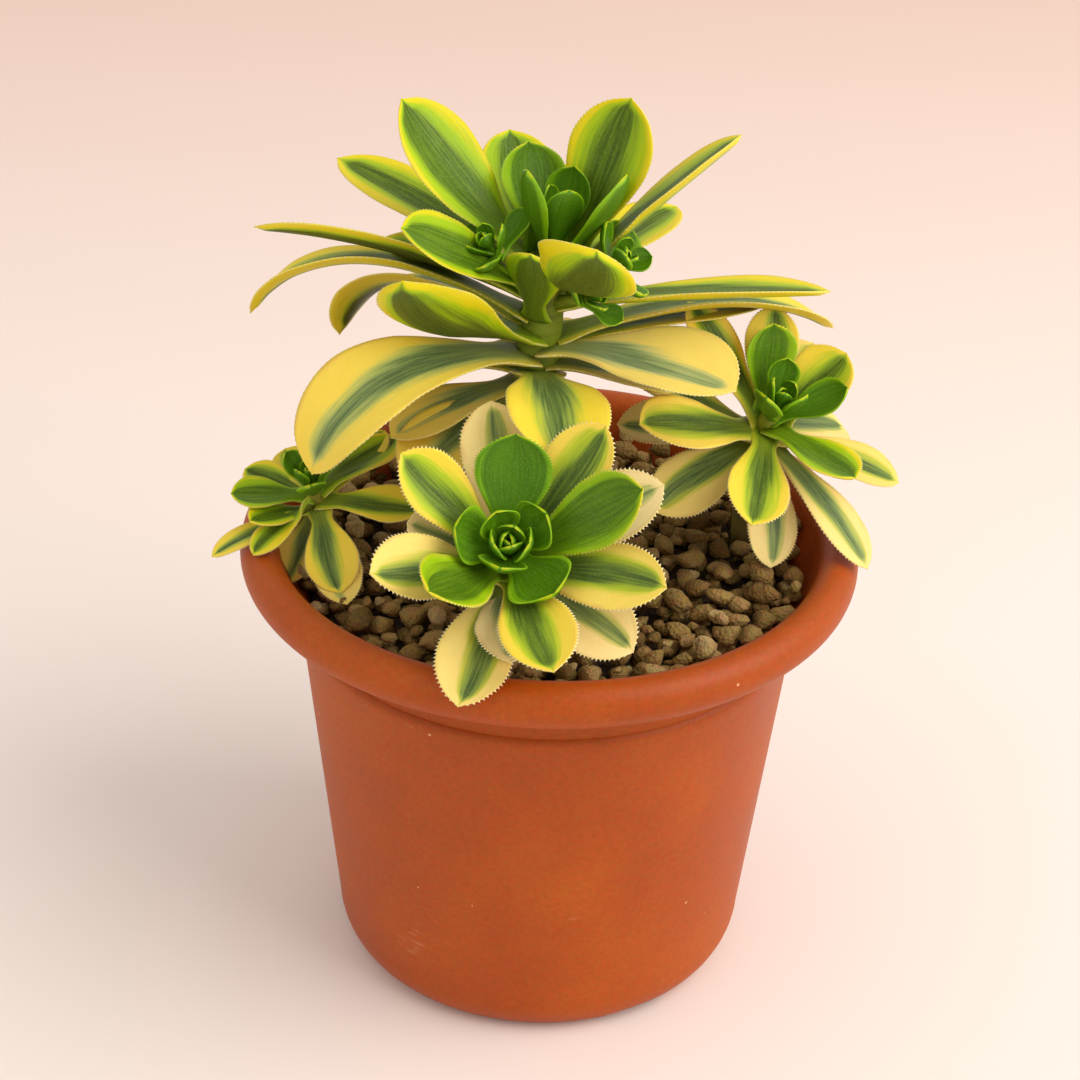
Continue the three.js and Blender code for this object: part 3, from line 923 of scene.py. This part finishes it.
# Variegated houseleek leaf: waxy and satin. A green band with fine lengthwise veins runs up
# its middle, bluer and greyer with age, and fades through yellow-green into margins that go
# from a thin lime line on young leaves to broad butter and cream with a pink blush on old.
leaf_skin, tree, shader, _ = new_material("variegated_houseleek_leaf")
uv = add_node(tree, "ShaderNodeUVMap", {}, uv_map="blade").outputs["UV"]
along = add_node(tree, "ShaderNodeSeparateXYZ", {"Vector": uv}).outputs["Y"]
age, cream, rim, band, tooth_tip, underside = (
    attribute(tree, name) for name in ("age", "cream", "rim", "band", "tooth_tip", "underside")
)
streak = attribute(tree, "streak", "Vector")
veins, bands = (
    clouded(tree, stretched(tree, streak, per_mm), 1.0, detail)["Fac"]
    for per_mm, detail in ((VEINS_PER_MM, 3.0), (BANDS_PER_MM, 2.0))
)
patches = clouded(tree, streak, PATCHES_PER_MM, 3.0)["Fac"]
frayed = calc(tree, "MULTIPLY_ADD", veins, VEIN_FRAY, band)
frayed = calc(tree, "MULTIPLY_ADD", bands, BAND_FRAY, frayed)
# The margins widen from the foot up, and close in round the point.
widening = fitted(tree, along, 0.1, 0.75, 0.3, 1.2, "SMOOTHSTEP")
closing = fitted(tree, along, 0.9, 1.0, 0.0, 0.45, "SMOOTHSTEP")
margin = add_node(tree, "ShaderNodeFloatCurve", {"Value": age})
curve = margin.mapping.curves[0]
for spot, level in MARGIN_WIDTHS:
    if spot in (0.0, 1.0):
        curve.points[int(spot) * (len(curve.points) - 1)].location = (spot, level)
    else:
        curve.points.new(spot, level)
margin.mapping.update()
margin_here = calc(tree, "MULTIPLY_ADD", margin.outputs["Value"], widening, closing)
inward = calc(tree, "SUBTRACT", frayed, margin_here)
inward = calc(tree, "SUBTRACT", inward, MEAN_FRAY)
inward = calc(tree, "MULTIPLY", inward, fitted(tree, age, 0.0, 0.5, 2.0, 1.15))
lime_inward = calc(tree, "MULTIPLY_ADD", age, LIME_DRAWS_IN, inward)
green_share, lime_share, core_share = (
    fitted(tree, reach, *zone, kind="SMOOTHSTEP")
    for reach, zone in ((inward, GREEN_ZONE), (lime_inward, LIME_ZONE), (inward, CORE_ZONE))
)
band_green, core_green, lime, foot_green = (
    ramp(tree, age, stops) for stops in (BAND_GREENS, CORE_GREENS, LIMES, FOOT_GREENS)
)
outer = mixed(tree, lime_share, ramp(tree, cream, MARGINS), lime)
# The pink blush sits on the outer millimetre of old margins, in patches.
blush_edge = fitted(tree, rim, 0.16, 0.0, 0.0, 0.75)
blush_share = calc(tree, "MULTIPLY", blush_edge, fitted(tree, patches, 0.4, 0.68))
blush_share = calc(tree, "MULTIPLY", blush_share, cream)
blushed = mixed(tree, blush_share, outer, linear(BLUSH))
banded = mixed(tree, green_share, blushed, band_green)
core_amount = calc(tree, "MULTIPLY", core_share, fitted(tree, veins, 0.36, 0.62, 0.5))
cored = mixed(tree, core_amount, banded, core_green)
# Close to the stem every leaf is a fresher, plainer yellow-green.
foot_share = fitted(tree, along, 0.36, 0.02, 0.0, 0.45, "SMOOTHSTEP")
footed = mixed(tree, foot_share, cored, foot_green)
# A thin pale line follows the margin, where the skin is clear.
line_share = calc(tree, "MULTIPLY", age, fitted(tree, rim, 0.03, 0.0, 0.0, 0.5))
lined = mixed(tree, line_share, footed, linear(CLEAR_EDGE))
# Seen from below, the band is a darker, dull olive: partly the leaf's own dull back and
# partly painted shade for undersides turned away from the light.
back_shade_share = underside
for factor, clamp in ((green_share, False), (age, False), (1.6, True)):
    back_shade_share = calc(tree, "MULTIPLY", back_shade_share, factor, clamp=clamp)
back_shaded = mixed(tree, back_shade_share, lined, linear(SHADED_DULL_BACK))
flecked = mixed(tree, 0.16, back_shaded, patches, "SOFT_LIGHT")
# A thin farina, dusted in dots about 0.4 mm across, greys the skin a little.
dust = clouded(tree, streak, DOTS_PER_MM, 4.0)["Fac"]
dust_share = fitted(tree, dust, 0.5, 0.75, 0.0, 0.18)
dusted = mixed(tree, dust_share, flecked, linear(FARINA))
# Only the margins that have lost their green carry pale teeth.
tooth_share = calc(tree, "MULTIPLY", fitted(tree, cream, 0.1, 0.6), tooth_tip)
feed(tree, shader, {
    "Base Color": mixed(tree, tooth_share, dusted, linear(TOOTH_COLOUR)),
    "Roughness": fitted(tree, patches, 0.3, 0.7, 0.36, 0.5),
    "Normal": bumped(tree, veins, 0.22, 0.25 * MM),
    "IOR": 1.43, "Specular IOR Level": 0.26,
    "Subsurface Weight": 0.18, "Subsurface Radius": (1.0, 0.8, 0.25),
    "Subsurface Scale": 0.9 * MM,
})

LONG_LEAF = 38 * MM
SHOOT_SEED = 31  # the step in seed from one shoot's leaves to the next shoot's
short_blank = leaf_blank("short_leaf", 72)
long_blank = leaf_blank("long_leaf", 96)
small_blank = leaf_blank("small_leaf", 36)

# Ages of each shoot's leaves, lowest leaf first: 0 is all green, 1 is faded, with margins
# at their widest. Then how pale each shoot's margins go, and how long its teeth are.
LEAF_AGES = {
    "crown": (
        0.85, 0.7, 0.8, 0.84, 0.94, 0.75, 0.7, 0.42, 0.6, 0.6, 0.5, 0.52, 0.5, 0.42,
        0.5, 0.3, 0.48, 0.5, 0.35, 0.36, 0.42, 0.15,
    ),
    "front": (0.72, 0.8, 0.9, 0.85, 0.68, 0.62, 0.55, 0.58, 0.5, 0.18, 0.26, 0.02),
    # The right shoot's top three leaves are aged a little more to pale them: partly their own
    # paler colour, partly painted light for the stronger light they catch from the right.
    "right": (0.75, 0.85, 0.8, 0.7, 0.7, 0.6, 0.55, 0.5, 0.3, 0.16),
    "left": (0.7, 0.7, 0.6, 0.5, 0.45, 0.28),
}
CREAM = {"crown": 0.75, "front": 1.1, "right": 1.05, "left": 0.85}
TEETH = {"crown": 0.35 * MM, "front": 0.62 * MM, "right": 0.52 * MM, "left": 0.45 * MM}

for shoot in SHOOTS:
    for number, leaf_age in enumerate(LEAF_AGES[shoot], start=1):
        node_name = f"{shoot}_leaf_{number:02d}"
        course, half, length = course_of(node_name, hubs[shoot][0])
        blank = long_blank if length > LONG_LEAF else short_blank
        pale = min(1, leaf_age * CREAM[shoot])
        leaf = grow_leaf(
            f"{shoot}_blade_{number:02d}", blank, course, half, length,
            leaf_age, pale, TEETH[shoot], number + SHOOT_SEED * SHOOTS.index(shoot),
        )
        finish_piece(leaf, leaf_skin, "leaf", node_name)

# ---- Lower and hidden leaves -----------------------------------------------------------
# More leaves of the same kind fill each shoot between the large ones, most of them half
# hidden: under the crown, behind it, and under the low rosettes.
SOCKET = {"crown": 5.2 * MM, "front": 3.6 * MM, "right": 3.6 * MM, "left": 3 * MM}
HUB_BELOW = {"crown": 26 * MM, "front": 3 * MM, "right": 3 * MM, "left": 2.5 * MM}
UNDER_SEED = 200
# turn, rise, length, width, droop, height above the hub, age
MORE_LEAVES = {
    "crown": (
        (159, 0, 33, 15, 10, 19, 0.4),
        (208, -10, 28, 16, 30, -4, 0.9),
        (349, 7, 26, 15, 25, 2, 0.85),
        (120, 23, 33, 15, 5, 20, 0.4),
        (21, 14, 46, 15, 20, 6, 0.7),
        (60, -10, 34, 15, 40, 3, 0.8),
        (135, 5, 36, 16, 40, 4, 0.8),
        (85, 30, 30, 14, 5, 18, 0.35),
        (-112, 62, 17, 12, -8, 15, 0.28),
    ),
    "front": (
        (166, 34, 19.5, 13, 15, -6, 0.95),
        (273, 38, 23, 13, 25, -7, 1.0),
        (60, 5, 26, 13, 20, -6.5, 0.95),
    ),
    "right": (
        (102, 45, 22.6, 12, 10, -2, 0.55),
        (34, -16, 23, 12, 15, -3, 0.8),
        (178, -14, 27, 13, 15, -5, 0.85),
        (144, 30, 27, 12, 10, -1, 0.6),
        (70, 12, 24, 12, 15, -3, 0.7),
    ),
    "left": (
        (240, -21, 14.7, 9, 20, -5, 0.8),
        (285, 1, 23, 10, 20, -5.5, 0.85),
        (53, 5, 20, 9, 10, -3, 0.6),
        (116, -3, 14, 9, 0, -1, 0.6),
        (217, 31, 14, 8, 15, -3, 0.4),
        (150, 10, 15, 8, 10, -2, 0.5),
    ),
}
for shoot, rows in MORE_LEAVES.items():
    origin, lean = hubs[shoot]
    hub = (origin - lean @ Vector((0, 0, HUB_BELOW[shoot])), lean)
    for number, row in enumerate(rows, start=1):
        turn, rise, length, width, droop, height, leaf_age = row
        course, half, length = course_from(
            hub, turn, rise, length * MM, width * MM, droop, height * MM, SOCKET[shoot]
        )
        pale = min(1, leaf_age * CREAM[shoot])
        leaf = grow_leaf(
            f"{shoot}_under_{number:02d}", short_blank, course, half, length,
            leaf_age, pale, TEETH[shoot], UNDER_SEED + number + SHOOT_SEED * SHOOTS.index(shoot),
        )
        finish_piece(leaf, leaf_skin, "leaf")

# ---- Hearts ----------------------------------------------------------------------------
# The youngest leaves of each rosette, cupped round the growing point. Each stands the
# golden angle on from the last, and is shorter, narrower and more upright.
GOLDEN_ANGLE = 137.5
HEART_SEED = 400
YOUNG_AGE = 0.05
YOUNG_TOOTH = 0.1 * MM
YOUNG_CUP = 0.3
CURL_IN = -22  # the outer leaves curl up and in by this much along their length, in degrees
# first turn, leaf count, lengths, widths, rises, heights above the stem's top, first and last
HEARTS = {
    "crown": (-17.5, 8, (23, 6), (14, 4), (56, 86), (0, 4)),
    "front": (310, 12, (14.5, 3), (14, 3), (27, 86), (-1.0, 2.6)),
    "right": (10, 9, (15, 3), (9.5, 2.6), (38, 86), (-1.0, 2.4)),
    "left": (60, 8, (12, 3), (7.5, 2.4), (35, 85), (-1.0, 2.0)),
}


def grow_heart(name, hub, first_turn, count, lengths, widths, rises, heights, seed):
    """A rosette of young leaves on a hub, as one piece."""
    young = []
    for k in range(count):
        share = (k / (count - 1)) ** 0.7
        length, width, rise, height = (
            a + (b - a) * share for a, b in (lengths, widths, rises, heights)
        )
        course, half, length = course_from(
            hub, first_turn - GOLDEN_ANGLE * k, rise, length * MM, width * MM,
            CURL_IN + 8 * share, height * MM, (2.0 - 1.7 * share) * MM,
        )
        young.append(
            grow_leaf(
                f"{name}_{k}", small_blank, course, half, length,
                YOUNG_AGE * (1 - share), YOUNG_AGE, YOUNG_TOOTH, seed + k, cup=YOUNG_CUP,
            )
        )
    return join_pieces(young, name)


for shoot, row in HEARTS.items():
    seed = HEART_SEED + 20 * SHOOTS.index(shoot)
    heart = grow_heart(f"{shoot}_young_leaves", hubs[shoot], *row, seed)
    finish_piece(heart, leaf_skin, "heart", f"{shoot}_heart")

# ---- Side shoots -----------------------------------------------------------------------
# Tiny rosettes that break from the crown's stem between its leaves, on stubs of their own.
STUB_FOOT = 1.5 * MM
STUB_STEPS = (0.86, 0.92, 1.04, 0.9)  # how its width changes at each quarter of its length
STUB_SLOPE = 0.55  # how far a stub climbs for each step out from the stem
SPRIG_LEAVES = 9
SPRIG_LENGTHS = (9.5, 3)  # outermost and innermost leaf; the first is times the shoot's size
SPRIG_WIDTHS = (7.5, 2.5)
SPRIG_RISES = (8, 84)
SPRIG_HEIGHTS = (-1.6, 1.6)
SPRIG_SEED = 600
# turn, height above the hub and reach from the stem, tilt of the shoot, size
SIDE_SHOOTS = (
    (-158, 27, 13, 40, 1.0),
    (-20, 27, 13, 40, 1.25),
    (-48, 21, 12, 50, 0.9),
)
crown_top, crown_lean = hubs["crown"]
crown_hub = crown_top - crown_lean @ Vector((0, 0, HUB_BELOW["crown"]))
for number, (turn, height, reach, tilt, size) in enumerate(SIDE_SHOOTS, start=1):
    around = math.radians(turn)
    out = Vector((math.cos(around), math.sin(around), 0))
    seat = crown_hub + crown_lean @ (out * reach * MM + Vector((0, 0, height * MM)))
    tipped = out * math.sin(math.radians(tilt)) + Vector((0, 0, math.cos(math.radians(tilt))))
    way = Vector((0, 0, 1)).rotation_difference(crown_lean @ tipped)
    bpy.ops.object.select_all(action="DESELECT")
    bpy.ops.mesh.primitive_circle_add(vertices=16, radius=STUB_FOOT)
    stub = bpy.context.object
    stub.name = f"crown_stub_{number}"
    open_piece(stub)
    pick(stub, "EDGE", lambda edge: True)
    bpy.ops.mesh.edge_face_add()
    bpy.ops.mesh.select_mode(type="EDGE")
    for grow in STUB_STEPS:
        bpy.ops.mesh.extrude_region_move(
            TRANSFORM_OT_translate={"value": (0, 0, 1 / len(STUB_STEPS))}
        )
        bpy.ops.transform.resize(value=(grow, grow, 1), center_override=(0, 0, 0))
    bpy.ops.mesh.select_all(action="SELECT")
    bpy.ops.mesh.normals_make_consistent(inside=False)
    close_piece()
    root = crown_hub + crown_lean @ Vector((0, 0, (height - reach * STUB_SLOPE) * MM))
    run = seat + way @ Vector((0, 0, MM)) - root
    stub.data.transform(
        Matrix.Translation(root)
        @ run.to_track_quat("Z", "Y").to_matrix().to_4x4()
        @ Matrix.Diagonal((1, 1, run.length, 1))
    )
    bpy.ops.object.shade_smooth_by_angle(angle=math.radians(50))
    finish_piece(stub, bark, "stem")
    sprig = grow_heart(
        f"crown_sprig_{number}", (seat, way), 40 * number, SPRIG_LEAVES,
        (SPRIG_LENGTHS[0] * size, SPRIG_LENGTHS[1]), (SPRIG_WIDTHS[0] * size, SPRIG_WIDTHS[1]),
        SPRIG_RISES, SPRIG_HEIGHTS, SPRIG_SEED + 20 * number,
    )
    finish_piece(sprig, leaf_skin, "heart")
